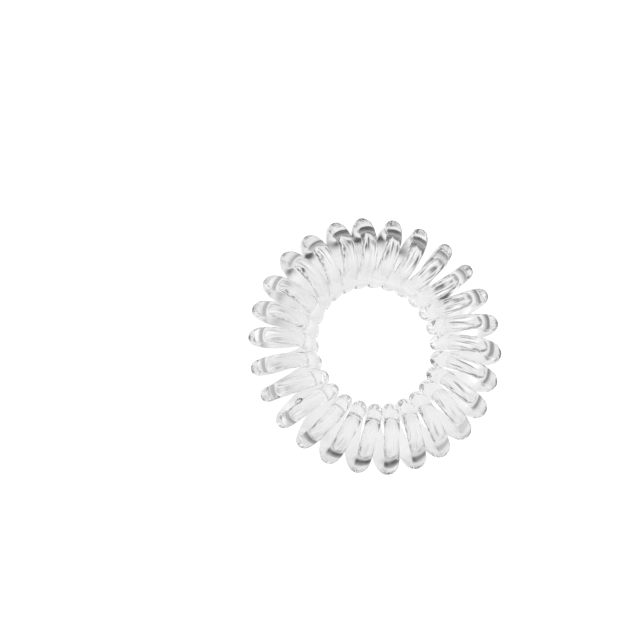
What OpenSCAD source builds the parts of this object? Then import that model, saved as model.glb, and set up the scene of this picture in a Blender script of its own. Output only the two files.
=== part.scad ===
// Spiral hair tie: one closed piece of round plastic cord, wound into a coil whose
// core is bent round into a ring. The turns lie side by side round the hole and fan
// out from there, so the ring's size follows from the turns. It lies flat.

/* [Cord] */
// Diameter of the round cord
cord_d = 2.3; // [1.6:0.05:3]

/* [Coil] */
// Number of turns round the ring
turns = 26; // [20:1:30]
// Width of the coil, from the edge of the hole to the outer edge of the ring
coil_w = 10.3; // [8:0.1:14]
// Height of the coil, which is the height of the ring as it lies
coil_h = 10.2; // [8:0.1:14]
// Clear gap between neighbouring turns where they crowd round the hole
turn_gap = 0.05; // [0.03:0.01:1]
// Degrees by which the top and bottom of each turn are drawn in under its outer end
draw_in = 1.4; // [0:0.1:3]

/* [Mesh] */
// Sections of the cord in each turn
sections_per_turn = 20; // [12:4:24]
// Corners of each section
section_corners = 10; // [8:1:12]

/* [Hidden] */

cord_r = cord_d / 2;
// Half width and half height of the oval that the cord's centre line winds round
wind_w = coil_w / 2 - cord_r;
wind_h = coil_h / 2 - cord_r;
// Radius round the ring's axis of the innermost centre line. The turns cross there at a
// slant, and their spacing square to the cord is the cord's diameter and the gap.
spacing = cord_d + turn_gap;
chord_per_r = 2 * sin(180 / turns);
slant_per_r = (1 / turns + draw_in * PI / 180) / wind_h;
inner_r = spacing / sqrt(pow(chord_per_r, 2) - pow(spacing * slant_per_r, 2));
// Radius of the ring's core
core_r = inner_r + wind_w;
sections = turns * sections_per_turn;
// Small step along the centre line, in turns, for finding its direction
step = 0.001;

// Angle round the coil, s turns from the start
function wound(s) = 360 * s;

// Angle round the ring
function around(s) = 360 * s / turns - draw_in * sin(wound(s));

// Direction straight out of the coil's core
function outward(s) = [
    cos(wound(s)) * cos(around(s)),
    cos(wound(s)) * sin(around(s)),
    sin(wound(s))
];

// Point on the cord's centre line
function centre(s) = [
    (core_r + wind_w * cos(wound(s))) * cos(around(s)),
    (core_r + wind_w * cos(wound(s))) * sin(around(s)),
    coil_h / 2 + wind_h * sin(wound(s))
];

function unit(v) = v / norm(v);

// Round section of the cord, square to its centre line, with its first corner outward
function section(s) =
    let (along = unit(centre(s + step) - centre(s - step)))
    let (out = unit(outward(s) - (outward(s) * along) * along))
    let (side = cross(along, out))
    [
        for (k = [0 : section_corners - 1])
            let (turned = 360 * k / section_corners)
            centre(s) + cord_r * (cos(turned) * out + sin(turned) * side)
    ];

// Number of corner k of section i, counted round the closed cord
function corner(i, k) = (i % sections) * section_corners + k % section_corners;

module coil() {
    corners = [for (i = [0 : sections - 1]) each section(i / sections_per_turn)];
    skin = [
        for (i = [0 : sections - 1], k = [0 : section_corners - 1])
            each [
                [corner(i, k), corner(i + 1, k + 1), corner(i, k + 1)],
                [corner(i, k), corner(i + 1, k), corner(i + 1, k + 1)]
            ]
    ];
    color("gainsboro")
        polyhedron(corners, skin);
}

coil();
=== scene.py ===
import math

import bpy
import numpy as np
from mathutils import Matrix, Vector


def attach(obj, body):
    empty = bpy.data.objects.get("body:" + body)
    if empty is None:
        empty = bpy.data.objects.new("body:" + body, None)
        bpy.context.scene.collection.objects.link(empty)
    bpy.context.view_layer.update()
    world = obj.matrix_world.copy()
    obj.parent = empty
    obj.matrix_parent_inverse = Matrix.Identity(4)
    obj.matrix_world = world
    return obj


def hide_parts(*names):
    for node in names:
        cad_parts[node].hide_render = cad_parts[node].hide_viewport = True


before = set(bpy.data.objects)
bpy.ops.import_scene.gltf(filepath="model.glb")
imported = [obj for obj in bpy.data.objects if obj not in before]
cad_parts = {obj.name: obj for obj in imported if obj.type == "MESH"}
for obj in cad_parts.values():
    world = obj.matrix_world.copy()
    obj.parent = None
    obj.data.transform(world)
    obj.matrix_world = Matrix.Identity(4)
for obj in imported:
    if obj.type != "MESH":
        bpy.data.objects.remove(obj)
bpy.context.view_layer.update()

MM = 0.001

# The coil repeats the sizes of the part's source, in millimetres and degrees.
CORD_D = 2.3
TURNS = 26
COIL_W = 10.3
COIL_H = 10.2
TURN_GAP = 0.05
DRAW_IN = 1.4

CORD_R = CORD_D / 2
WIND_W = COIL_W / 2 - CORD_R
WIND_H = COIL_H / 2 - CORD_R
SPACING = CORD_D + TURN_GAP
CHORD_PER_R = 2 * math.sin(math.pi / TURNS)
SLANT_PER_R = (1 / TURNS + math.radians(DRAW_IN)) / WIND_H
INNER_R = SPACING / math.sqrt(CHORD_PER_R**2 - (SPACING * SLANT_PER_R) ** 2)
CORE_R = INNER_R + WIND_W

# How far each turn leans aside at its outer end, on top and underneath, in degrees, and how far
# its outer and inner ends stand out, in millimetres: a soft coil never lies quite evenly.
LEAN_OUT = (
    0, 0, 0, 0.1, 0.3, 0, 0.8, 0, 0.4, -0.3, 0.5, 0.2, -0.5, 0.3, -0.2, 0.4, 0, 0, 0.5, 0.9, 0.9,
    0.4, 0.5, -0.1, -0.1, -0.4
)
LEAN_TOP = (
    0.1, 0.1, -0.6, -0.9, -0.6, -0.3, 0, -0.3, 0.3, -0.5, 0.2, 0.4, -0.4, 0, 0.4, -0.3, 0.4, -1.2,
    -1.9, -2.4, -2.1, -2.6, -2.1, -2.2, -0.7, 0.2
)
LEAN_UNDER = (
    0.3, 0.3, 0.2, 1.7, 1.5, 0.1, 0, 0.2, -0.3, 0.4, 0, -0.4, 0.4, 0.2, -0.4, 0.2, -0.4, 0.6, 2.1,
    2.7, 2.6, 3.1, 3, 2.6, 1.7, 0.8
)
STAND_OUT = (
    0, -0.05, 0, 0, 0, -0.05, -0.03, 0.03, -0.05, 0.02, -0.08, 0, -0.03, 0.03, -0.06, 0, 0, 0.03,
    -0.03, 0, -0.04, -0.05, 0, 0.03, 0, 0.03
)
STAND_IN = (
    -0.07, -0.1, 0.03, 0, 0, 0, 0, 0, 0, 0.03, -0.03, 0, 0.03, 0, -0.03, 0, 0, -0.08, -0.08, -0.05,
    -0.12, -0.06, -0.1, -0.08, -0.12, -0.12
)
EVEN = (0,) * TURNS

# The cord's mesh: rings in each turn, corners of a ring, and the step in turns over which the
# cord's direction is found
RINGS_PER_TURN = 76
SIDES = 48
STEP = 1e-4

# Waves of the cord's surface: the usual height in millimetres, then the seed of their draws, how
# many there are, and how often they repeat along the whole cord and how often round it
RIPPLE = 0.004
RIPPLE_WAVES = (11, 30, (40, 150), (2, 8))
MARK = 0.010
MARK_WAVES = (12, 40, (20, 200), (8, 15))
PATCH_WAVES = (13, 20, (40, 140), (0, 4))
# How steeply the marks fade in toward the cord's inner side, from where, and the level and swing
# of the patches in which they show
MARK_STEEP = 1.6
MARK_START = 0.3
PATCH_LEVEL = 0.5
PATCH_SWING = 0.8

# The bead of the weld where the cord's two ends are joined: its turn, its place round the cord,
# its height and half width in millimetres, and the reach in turns and number of the rings that
# are added to the mesh there
WELD_S = 15.174
WELD_SIDE = math.radians(-80)
WELD_HEIGHT = 0.45
WELD_HALF = 0.57
WELD_REACH = 0.03
WELD_RINGS = 16

# The plastic: its index of refraction, and the noises over the cord, each with how fine it is
# along and round the cord and how detailed
IOR = 1.49
CLOUD = ((2.5, 1.2, 1.2), 2.0)
HAZE = ((9.0, 2.0, 2.0), 3.0)
LINES = ((1.6, 9.0, 9.0), 2.0)
WAVES = ((14.0, 2.2, 2.2), 1.0)
# The two ends of the cloud's colours, the noise's values between which the haze rises, and the
# roughness that it rises to
CLOUD_STOPS = ((0.35, (0.955, 0.957, 0.955)), (0.65, (0.985, 0.986, 0.985)))
HAZE_FROM = 0.3
HAZE_TO = 0.7
MOST_HAZE = 0.015
# Heights of the drawing lines and of the waves of the cord's surface, in millimetres
LINE_BUMP = 0.0015
WAVE_BUMP = 0.004

# The photograph's view of the ring: how far the ring is turned, how far over its plane the camera
# stands and which way round, how far off in metres, how large a pixel is, and where the ring's
# middle falls in the square picture
VIEW_TURN = math.radians(11.2)
VIEW_ELEVATION = math.radians(70.5)
VIEW_SPIN = math.radians(-54.8)
VIEW_DISTANCE = 1.2
PIXEL = 0.1458 * MM
PICTURE = 640
MIDDLE_X = 374.95
MIDDLE_Y = 346.15
SENSOR = 36
NEAREST_SEEN = 0.01

# The table: half its width in metres, its grey, and how rough, shiny and lit it is
TABLE_HALF = 2.0
TABLE_GREY = 0.5
TABLE_ROUGHNESS = 0.6
TABLE_SHINE = 0.1
TABLE_GLOW = 0.8

# The floor under the ring, glowing with painted light and painted shadow, and the cards round it,
# in millimetres: how high they lie, where the floor starts and where it ends and the cards begin,
# the number of the floor's rings and of the steps round it and round the cards, and the cards'
# rings besides those in their profiles
CARD_HEIGHT = 0.02
PAINTED_FLOOR_START = 0.5
CARDS_START = 19.5
PAINTED_FLOOR_RINGS = 77
PAINTED_FLOOR_STEPS = 40 * TURNS
CARD_STEPS = 12 * TURNS
MORE_RINGS = (90, 150, 240)

# Profiles for each side of the picture: the side's direction and how widely it reaches, in
# degrees, and values by distance from the ring's middle in millimetres. First the level of the
# floor under the ring, with painted shade where it darkens toward the ring's outer edge at some
# sides, then the depth of its painted shadow lines, then the level of the cards outside.
FLOOR_LEVELS = (
    (85, 38, ((8, 0.92), (14, 0.90), (16, 0.86), (18, 0.76), (18.8, 0.88), (19.5, 0.95))),
    (15, 38, ((8, 0.92), (14, 0.88), (19.5, 0.86))),
    (315, 30, ((8, 0.92), (14, 0.88), (19.5, 0.84))),
    (255, 30, ((8, 0.92), (14, 0.86), (16.5, 0.84), (17.8, 0.72), (18.6, 0.35), (19.5, 0.25))),
    (180, 38, ((8, 0.87), (11, 0.80), (13.5, 0.80), (15, 0.87), (17, 0.84), (19.5, 0.72))),
)
LINE_DEPTHS = (
    (88, 28, ((14.5, 0.1), (15.5, 0.6), (16.5, 1.4), (17.5, 1.9), (18.2, 1.8), (18.6, 0.1))),
    (45, 18, ((13.5, 0), (14.5, 0.9), (18.5, 1.2), (19.5, 0.5))),
    (8, 24, ((12.8, 0.1), (14, 1.6), (16.3, 1.8), (17.5, 0.15))),
    (325, 22, ((12.8, 0.1), (14, 0.4), (16.5, 0.5), (18, 0.1))),
    (270, 32, ((12.8, 0), (14, 0.2), (16, 0.15), (18, 0))),
    (182, 38, ((11, 0), (13, 0.2), (14.2, 0.5), (17, 0.5), (18.5, 0.1))),
)
CARDS = (
    (89, 32, (
        (20, 0.92), (21.2, 0.85), (21.9, 0.10), (26, 0.10), (30, 0.16), (34, 0.34), (60, 0.38),
        (110, 0.15), (400, 0.10)
    )),
    (42, 18, (
        (20, 0.75), (21, 0.55), (22, 0.35), (24, 0.35), (28, 0.55), (48, 0.85), (400, 0.85)
    )),
    (8, 26, (
        (20, 0.86), (20.8, 0.70), (21.5, 0.30), (22.5, 0.16), (25, 0.22), (28, 0.38), (36, 0.60),
        (50, 0.85), (400, 0.95)
    )),
    (330, 18, (
        (20, 0.88), (22, 0.80), (24, 0.50), (26, 0.22), (31, 0.22), (36, 0.75), (60, 0.85),
        (400, 0.85)
    )),
    (304, 13, ((20, 0.70), (21.5, 0.62), (24, 0.80), (28, 0.88), (400, 0.90))),
    (262, 30, (
        (20, 0.30), (21, 0.16), (22.5, 0.18), (24, 0.42), (26, 0.62), (42, 0.65), (60, 0.50),
        (400, 0.45)
    )),
    (180, 38, ((20, 0.50), (23.5, 0.45), (25.5, 0.90), (400, 0.90))),
)

# The painted shadow lines that the lower strands would throw on the floor beside them, with places
# and widths in turns. First the seed of their draws, where they fall beside a strand and how
# unevenly
SHADE_SEED = 21
SHADE_PHASE = 0.85
SHADE_UNEVEN = 0.15
# How far they are shifted at the picture's top, and that side's direction and reach in degrees
SHADE_TOP_SHIFT = 0.1
SHIFTED_SIDE = (95, 40)
# Their width, and how much wider they are at the picture's top and finer at its right
SHADE_WIDTH = 0.16
TOP_WIDER = 0.6
WIDER_SIDE = (88, 28)
RIGHT_FINER = 0.15
FINER_SIDE = (12, 40)
# The first and second line of each turn: how far on it falls, and its shares of the depth and of
# the width
SHADE_LINES = ((0.0, 1.0, 1.0), (0.72, 0.8, 0.6))
# Their strengths, the darkest that they get, and how they break up: the usual share that is left,
# its swing, and how fast it swings with the distance from the middle
SHADE_STRENGTHS = (0.4, 1.3)
SHADE_DARKEST = 0.95
BREAK_LEVEL = 0.75
BREAK_SWING = 0.6
BREAK_RATE = 1.1

# The painted bright caustic line that each strand would gather under it: how far after the painted
# shadow line it falls and how wide it is, in turns, its usual strength, what is added at the
# picture's right and taken off at its bottom, the share that each turn has, and where it fades in
# and out, in millimetres
GLOW_SHIFT = 0.25
GLOW_WIDTH = 0.12
GLOW = 0.25
GLOW_MORE = 0.2
MORE_SIDE = (15, 45)
GLOW_LESS = 0.15
LESS_SIDE = (270, 50)
GLOW_STRENGTHS = (0.3, 1.3)
GLOW_START = 13.0
GLOW_FADE_IN = 4.0
GLOW_FADE_OUT = 1.5

# How much the cards' level swings with each turn under the picture's bottom, from where in the
# turn, up to which distance and over how many millimetres it fades, and the darkest level
CARD_SWING = 0.15
CARD_PHASE = 0.17
SWING_SIDE = (265, 45)
SWING_END = 26
SWING_FADE = 3
CARD_DARKEST = 0.03

# Levels of the sky low over the picture's top, over its bottom and at its sides, and overhead
LOW_TOP = 0.15
LOW_BOTTOM = 0.5
LOW_SIDES = 0.95
OVER = 1.15
# Between which heights it rises to the overhead level, over the top and bottom and at the sides,
# as the upward share of the direction
RISE_ENDS = (0.45, 0.7)
RISE_SIDES = (0.3, 0.6)
# Where top and bottom give way to the sides, by the squared sideways share of the direction, and
# where the bottom gives way to the top, by its upward share in the picture and a half
SIDEWAYS = (0.15, 0.45)
TOPWARD = (0.4, 0.6)

# Number of times that light is followed through the plastic
BOUNCES = 24


def unit(rows):
    return rows / np.linalg.norm(rows, axis=1, keepdims=True)


def lobe(direction, middle, reach):
    """A soft hump of 1 over one direction of the picture, whose middle and reach are in degrees."""
    away = (direction - math.radians(middle) + math.pi) % math.tau - math.pi
    return np.exp(-((away / math.radians(reach)) ** 2))


def add_object(name, mesh):
    """An object at the origin, so that its place is in its mesh."""
    obj = bpy.data.objects.new(name, mesh)
    bpy.context.scene.collection.objects.link(obj)
    return obj


def add_ramp(tree, value, stops):
    """A colour ramp over a value, from its stops' places and colours."""
    node = tree.nodes.new("ShaderNodeValToRGB")
    elements = node.color_ramp.elements
    elements[0].position, elements[0].color = stops[0][0], (*stops[0][1], 1)
    elements[1].position, elements[1].color = stops[-1][0], (*stops[-1][1], 1)
    for at, colour in stops[1:-1]:
        elements.new(at).color = (*colour, 1)
    tree.links.new(value, node.inputs["Fac"])
    return node.outputs["Color"]


def by_quarter(out, top, inside, under, s):
    """Values for the four quarters of each turn, each eased into the next along the cord."""
    values = np.array([out, top, inside, under], float).T.ravel()
    low = np.floor(4 * s).astype(int)
    share = 4 * s - low
    share = share * share * (3 - 2 * share)
    return values[low % (4 * TURNS)] * (1 - share) + values[(low + 1) % (4 * TURNS)] * share


def around(s):
    """Angle round the ring, s turns from the start."""
    w = math.tau * s
    lean = by_quarter(LEAN_OUT, LEAN_TOP, EVEN, LEAN_UNDER, s) - DRAW_IN * np.sin(w)
    return math.tau * s / TURNS + np.radians(lean)


def centre(s):
    """Points on the cord's centre line, in millimetres."""
    w = math.tau * s
    a = around(s)
    r = CORE_R + WIND_W * np.cos(w) + by_quarter(STAND_OUT, EVEN, STAND_IN, EVEN, s)
    return np.stack([r * np.cos(a), r * np.sin(a), COIL_H / 2 + WIND_H * np.sin(w)], axis=1)


def waves(s, turned, seed, count, along, across):
    """A sum of random waves of about unit size over the cord's surface, closed along and round it."""
    draw = np.random.default_rng(seed)
    total = np.zeros((len(s), len(turned)))
    for _ in range(count):
        lengthwise = draw.integers(*along)
        crosswise = draw.integers(*across) * draw.choice((-1, 1))
        phase = draw.uniform(0, math.tau)
        place = math.tau * lengthwise * s[:, None] / TURNS + crosswise * turned[None, :]
        total += np.cos(place + phase)
    return total / math.sqrt(count / 2)


def weld(s, turned):
    """Height of the small round bead that the joint left on the side of the cord."""
    along = (s - WELD_S) * math.pi * (WIND_W + WIND_H)
    round_cord = (turned - WELD_SIDE + math.pi) % math.tau - math.pi
    away = np.hypot(along[:, None], CORD_R * round_cord[None, :]) / WELD_HALF
    return WELD_HEIGHT * np.exp(-(away**3))


def unevenness(s, turned):
    """Height of the cord's surface over a plain round one: low ripples all round, stronger
    lengthwise marks on the side that lay on the winding rod, and the weld."""
    low = RIPPLE * waves(s, turned, *RIPPLE_WAVES)
    marks = MARK * waves(s, turned, *MARK_WAVES)
    inner = np.clip(-np.cos(turned) * MARK_STEEP - MARK_START, 0, 1)[None, :]
    patches = np.clip(PATCH_LEVEL + PATCH_SWING * waves(s, turned, *PATCH_WAVES), 0, 1)
    return low + marks * inner * patches + weld(s, turned)


def make_coil():
    """The closed cord as one smooth tube. Its mesh keeps the place along and round the cord for
    the material."""
    s = np.arange(TURNS * RINGS_PER_TURN) / RINGS_PER_TURN
    s = np.unique(np.concatenate([s, WELD_S + np.linspace(-WELD_REACH, WELD_REACH, WELD_RINGS)]))
    count = len(s)
    w = math.tau * s
    a = around(s)
    along = unit(centre(s + STEP) - centre(s - STEP))
    out = np.stack([np.cos(w) * np.cos(a), np.cos(w) * np.sin(a), np.sin(w)], axis=1)
    out = unit(out - along * np.sum(out * along, axis=1, keepdims=True))
    side = np.cross(along, out)
    turned = math.tau * np.arange(SIDES) / SIDES
    outward = np.cos(turned)[None, :, None] * out[:, None, :]
    sideways = np.sin(turned)[None, :, None] * side[:, None, :]
    radius = (CORD_R - RIPPLE + unevenness(s, turned))[:, :, None]
    points = centre(s)[:, None, :] + radius * (outward + sideways)
    i, k = np.meshgrid(np.arange(count), np.arange(SIDES), indexing="ij")
    j, m = (i + 1) % count, (k + 1) % SIDES
    quads = np.stack([i * SIDES + k, i * SIDES + m, j * SIDES + m, j * SIDES + k], axis=-1)
    mesh = bpy.data.meshes.new("coil_clear")
    mesh.from_pydata((points.reshape(-1, 3) * MM).tolist(), [], quads.reshape(-1, 4).tolist())
    mesh.polygons.foreach_set("use_smooth", [True] * len(mesh.polygons))
    place = np.empty((count, SIDES, 3), np.float32)
    place[:, :, 0] = s[:, None]
    place[:, :, 1] = np.cos(turned)[None, :]
    place[:, :, 2] = np.sin(turned)[None, :]
    kept = mesh.attributes.new("cord_place", "FLOAT_VECTOR", "POINT")
    kept.data.foreach_set("vector", place.ravel())
    mesh.update()
    mesh.validate()
    return add_object("coil_clear", mesh)


def clear_plastic():
    """Clear soft plastic, with a faint cloud in its colour, a little haze, drawing lines along the
    cord and low waves."""
    mat = bpy.data.materials.new("clear_plastic")
    mat.use_nodes = True
    nodes, links = mat.node_tree.nodes, mat.node_tree.links
    shader = nodes["Principled BSDF"]
    shader.inputs["Transmission Weight"].default_value = 1.0
    shader.inputs["IOR"].default_value = IOR

    place = nodes.new("ShaderNodeAttribute")
    place.attribute_name = "cord_place"

    def noise(fineness, detail):
        stretched = nodes.new("ShaderNodeVectorMath")
        stretched.operation = "MULTIPLY"
        stretched.inputs[1].default_value = fineness
        links.new(place.outputs["Vector"], stretched.inputs[0])
        node = nodes.new("ShaderNodeTexNoise")
        node.inputs["Scale"].default_value = 1.0
        node.inputs["Detail"].default_value = detail
        links.new(stretched.outputs["Vector"], node.inputs["Vector"])
        return node.outputs["Fac"]

    def bump(height, distance):
        node = nodes.new("ShaderNodeBump")
        node.inputs["Strength"].default_value = 1.0
        node.inputs["Distance"].default_value = distance * MM
        links.new(height, node.inputs["Height"])
        return node

    colour = add_ramp(mat.node_tree, noise(*CLOUD), CLOUD_STOPS)
    links.new(colour, shader.inputs["Base Color"])

    haze = nodes.new("ShaderNodeMapRange")
    haze.inputs["From Min"].default_value = HAZE_FROM
    haze.inputs["From Max"].default_value = HAZE_TO
    haze.inputs["To Min"].default_value = 0.0
    haze.inputs["To Max"].default_value = MOST_HAZE
    links.new(noise(*HAZE), haze.inputs["Value"])
    links.new(haze.outputs["Result"], shader.inputs["Roughness"])

    lines = bump(noise(*LINES), LINE_BUMP)
    low_waves = bump(noise(*WAVES), WAVE_BUMP)
    links.new(lines.outputs["Normal"], low_waves.inputs["Normal"])
    links.new(low_waves.outputs["Normal"], shader.inputs["Normal"])
    return mat


def make_table():
    """A wide pale table top, lit from within a little."""
    half = TABLE_HALF
    corners = [(-half, -half, 0), (half, -half, 0), (half, half, 0), (-half, half, 0)]
    mesh = bpy.data.meshes.new("floor")
    mesh.from_pydata(corners, [], [(0, 1, 2, 3)])
    floor = add_object("floor", mesh)
    mat = bpy.data.materials.new("floor")
    mat.use_nodes = True
    shader = mat.node_tree.nodes["Principled BSDF"]
    shader.inputs["Base Color"].default_value = (TABLE_GREY, TABLE_GREY, TABLE_GREY, 1)
    shader.inputs["Roughness"].default_value = TABLE_ROUGHNESS
    shader.inputs["Specular IOR Level"].default_value = TABLE_SHINE
    shader.inputs["Emission Color"].default_value = (1, 1, 1, 1)
    shader.inputs["Emission Strength"].default_value = TABLE_GLOW
    mesh.materials.append(mat)


def by_side(table, radius, direction):
    """A value by distance for every side of the picture, each side's profile eased into the next."""
    total = weights = 0
    for middle, reach, stops in table:
        weight = lobe(direction, middle, reach)
        total = total + weight * np.interp(radius, [r for r, _ in stops], [v for _, v in stops])
        weights = weights + weight
    return total / weights


def lower_turn(radius, angle):
    """Place along the cord, in turns, that the lower strand over a point of the floor has."""
    across = np.clip((radius - CORE_R) / WIND_W, -1, 1)
    w = math.tau - np.arccos(across)
    lean = -math.radians(DRAW_IN) * np.sin(w)
    return (angle - lean) * TURNS / math.tau - w / math.tau


def nearest_line(turn, places):
    """Distance in turns to the nearest of the lines at the given places, and which line that is."""
    nearest = np.full(turn.shape, float(TURNS))
    which = np.zeros(turn.shape, int)
    for n, place in enumerate(places):
        away = np.abs((turn - place + TURNS / 2) % TURNS - TURNS / 2)
        which[away < nearest] = n
        nearest = np.minimum(nearest, away)
    return nearest, which


def floor_shade(radius, angle):
    """How bright the floor is under the ring, painted with the shadow lines that each lower strand of
    the coil would throw beside it and the bright caustic line that it would gather under it."""
    direction = angle + VIEW_TURN
    turn = lower_turn(radius, angle)
    draw = np.random.default_rng(SHADE_SEED)
    places = np.arange(TURNS) + SHADE_PHASE + draw.uniform(-SHADE_UNEVEN, SHADE_UNEVEN, TURNS)
    toward = (places * math.tau / TURNS + VIEW_TURN) % math.tau
    places = places - SHADE_TOP_SHIFT * lobe(toward, *SHIFTED_SIDE)
    depth = by_side(LINE_DEPTHS, radius, direction)
    level = by_side(FLOOR_LEVELS, radius, direction)
    wider = 1 + TOP_WIDER * lobe(direction, *WIDER_SIDE) - RIGHT_FINER * lobe(direction, *FINER_SIDE)
    # painted shadow lines beside each lower strand, darkening the floor's level
    for shift, share, width_share in SHADE_LINES:
        away, which = nearest_line(turn, places + shift)
        strength = draw.uniform(*SHADE_STRENGTHS, TURNS)[which] * share
        wave = np.sin(BREAK_RATE * radius + draw.uniform(0, math.tau, TURNS)[which])
        broken = np.clip(BREAK_LEVEL + BREAK_SWING * wave, 0, 1)
        dark = np.clip(depth * strength * broken, 0, SHADE_DARKEST)
        width = width_share * SHADE_WIDTH * wider
        level = level * (1 - dark * np.exp(-((away / width) ** 2)))
    # a painted bright caustic line under each lower strand
    away, which = nearest_line(turn, places + GLOW_SHIFT)
    glow = GLOW + GLOW_MORE * lobe(direction, *MORE_SIDE) - GLOW_LESS * lobe(direction, *LESS_SIDE)
    strength = draw.uniform(*GLOW_STRENGTHS, TURNS)[which]
    fade_in = np.clip((radius - GLOW_START) / GLOW_FADE_IN, 0, 1)
    fade_out = np.clip((CARDS_START - radius) / GLOW_FADE_OUT, 0, 1)
    return level + glow * strength * fade_in * fade_out * np.exp(-((away / GLOW_WIDTH) ** 2))


def outer_shade(radius, angle):
    """How bright the cards round the ring are."""
    direction = angle + VIEW_TURN
    near = np.clip((SWING_END - radius) / SWING_FADE, 0, 1) * lobe(direction, *SWING_SIDE)
    swing = CARD_SWING * near * np.cos(TURNS * angle - math.tau * CARD_PHASE)
    return np.clip(by_side(CARDS, radius, direction) + swing, CARD_DARKEST, 1)


def ring_mesh(name, radii, steps, shade):
    """A flat mesh of rings about the middle, with a grey level at each point."""
    angles = math.tau * np.arange(steps) / steps
    radius, angle = np.meshgrid(np.asarray(radii, float), angles, indexing="ij")
    height = np.full(radius.shape, CARD_HEIGHT)
    points = np.stack([radius * np.cos(angle), radius * np.sin(angle), height], axis=-1)
    i, n = np.meshgrid(np.arange(len(radii) - 1), np.arange(steps), indexing="ij")
    j, m = i + 1, (n + 1) % steps
    quads = np.stack([i * steps + n, j * steps + n, j * steps + m, i * steps + m], axis=-1)
    mesh = bpy.data.meshes.new(name)
    mesh.from_pydata((points.reshape(-1, 3) * MM).tolist(), [], quads.reshape(-1, 4).tolist())
    kept = mesh.attributes.new("shade", "FLOAT", "POINT")
    levels = np.ascontiguousarray(shade(radius, angle), np.float32)
    kept.data.foreach_set("value", levels.ravel())
    return mesh


def make_cards():
    """The floor under the ring, glowing with painted light and painted shadow lines, and the dark
    cards laid round it, which give clear plastic its dark edges, as a photographer of glass lays
    them.
    Only light that the ring bends meets them."""
    mat = bpy.data.materials.new("cards")
    mat.use_nodes = True
    nodes, links = mat.node_tree.nodes, mat.node_tree.links
    shade = nodes.new("ShaderNodeAttribute")
    shade.attribute_name = "shade"
    glow = nodes.new("ShaderNodeEmission")
    links.new(shade.outputs["Fac"], glow.inputs["Color"])
    links.new(glow.outputs["Emission"], nodes["Material Output"].inputs["Surface"])
    painted_floor_radii = np.linspace(PAINTED_FLOOR_START, CARDS_START, PAINTED_FLOOR_RINGS)
    radii = sorted({CARDS_START, *MORE_RINGS} | {r for _, _, stops in CARDS for r, _ in stops})
    for mesh in (
        # the floor under the ring, painted with light, shadow lines and bright caustic lines
        ring_mesh("floor_painted_light", painted_floor_radii, PAINTED_FLOOR_STEPS, floor_shade),
        ring_mesh("cards", radii, CARD_STEPS, outer_shade),
    ):
        mesh.materials.append(mat)
        piece = add_object(mesh.name, mesh)
        piece.visible_camera = False
        piece.visible_diffuse = False
        piece.visible_shadow = False


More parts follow.
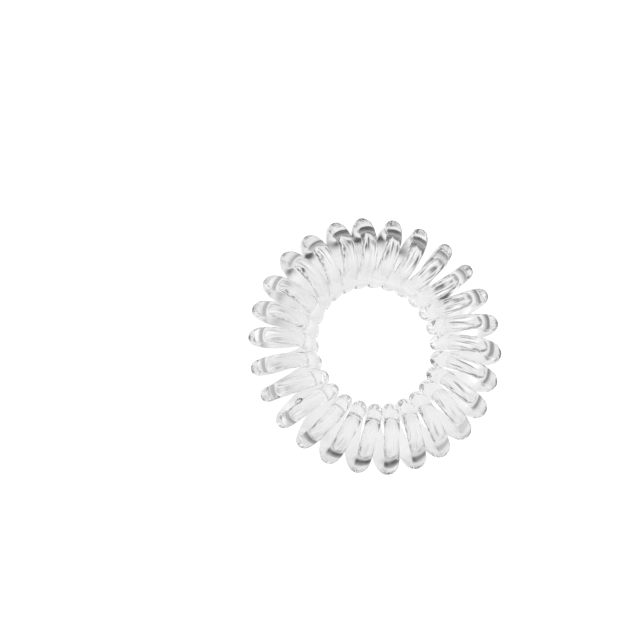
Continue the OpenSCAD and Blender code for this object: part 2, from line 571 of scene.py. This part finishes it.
def make_sky():
    """Soft light from overhead and from the sides, dim low over the picture's top and bottom as
    the ring in the photograph shows it."""
    world = bpy.data.worlds.new("studio")
    world.use_nodes = True
    bpy.context.scene.world = world
    tree = world.node_tree
    nodes, links = tree.nodes, tree.links

    def math_node(operation, first, second):
        node = nodes.new("ShaderNodeMath")
        node.operation = operation
        for n, value in enumerate((first, second)):
            if isinstance(value, float):
                node.inputs[n].default_value = value
            else:
                links.new(value, node.inputs[n])
        return node.outputs["Value"]

    def mix(share, first, second):
        node = nodes.new("ShaderNodeMixRGB")
        links.new(share, node.inputs["Fac"])
        links.new(first, node.inputs["Color1"])
        links.new(second, node.inputs["Color2"])
        return node.outputs["Color"]

    def grey_ramp(value, *stops):
        return add_ramp(tree, value, [(at, (level,) * 3) for at, level in stops])

    place = nodes.new("ShaderNodeTexCoord")
    turned = nodes.new("ShaderNodeVectorRotate")
    turned.rotation_type = "Z_AXIS"
    turned.inputs["Angle"].default_value = VIEW_TURN
    parts = nodes.new("ShaderNodeSeparateXYZ")
    links.new(place.outputs["Generated"], turned.inputs["Vector"])
    links.new(turned.outputs["Vector"], parts.inputs["Vector"])
    right, up, height = (parts.outputs[axis] for axis in "XYZ")

    def rising(low, rise):
        return grey_ramp(height, (0.0, low), (rise[0], low), (rise[1], OVER), (1.0, OVER))

    right_squared = math_node("MULTIPLY", right, right)
    up_squared = math_node("MULTIPLY", up, up)
    both = math_node("ADD", math_node("ADD", right_squared, up_squared), 1e-5)
    sideways = grey_ramp(
        math_node("DIVIDE", right_squared, both), (SIDEWAYS[0], 0.0), (SIDEWAYS[1], 1.0)
    )
    topward = grey_ramp(math_node("ADD", up, 0.5), (TOPWARD[0], 0.0), (TOPWARD[1], 1.0))
    ends = mix(topward, rising(LOW_BOTTOM, RISE_ENDS), rising(LOW_TOP, RISE_ENDS))
    level = mix(sideways, ends, rising(LOW_SIDES, RISE_SIDES))
    links.new(level, nodes["Background"].inputs["Color"])


def make_camera():
    """The camera at the photograph's angle, far off, so that the view is nearly without
    perspective."""
    cos, sin = math.cos(VIEW_SPIN), math.sin(VIEW_SPIN)

    def flat(x, y):
        return Vector((cos * x - sin * y, sin * x + cos * y, 0))

    back = flat(0, -math.cos(VIEW_ELEVATION)) + Vector((0, 0, math.sin(VIEW_ELEVATION)))
    level = flat(1, 0)
    rise = flat(0, math.sin(VIEW_ELEVATION)) + Vector((0, 0, math.cos(VIEW_ELEVATION)))
    right = level * cos - rise * sin
    up = level * sin + rise * cos
    data = bpy.data.cameras.new("camera")
    data.sensor_width = SENSOR
    data.lens = SENSOR * VIEW_DISTANCE / (PICTURE * PIXEL)
    data.clip_start = NEAREST_SEEN
    middle = Vector((0, 0, COIL_H / 2 * MM))
    place = (
        middle + back * VIEW_DISTANCE
        - right * (MIDDLE_X - PICTURE / 2) * PIXEL
        - up * (PICTURE / 2 - MIDDLE_Y) * PIXEL
    )
    camera = add_object("camera", data)
    turn = Matrix.Rotation(-VIEW_TURN, 4, "Z")
    facing = Matrix((right, up, back)).transposed().to_4x4()
    camera.matrix_world = turn @ Matrix.Translation(place) @ facing
    bpy.context.scene.camera = camera


coil = make_coil()
coil.data.materials.append(clear_plastic())
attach(coil, "root")
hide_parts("coil")

make_table()
make_cards()
make_sky()
make_camera()

scene = bpy.context.scene
scene.view_settings.view_transform = "Standard"
scene.cycles.max_bounces = BOUNCES
scene.cycles.transmission_bounces = BOUNCES
scene.cycles.glossy_bounces = BOUNCES
scene.cycles.use_denoising = True
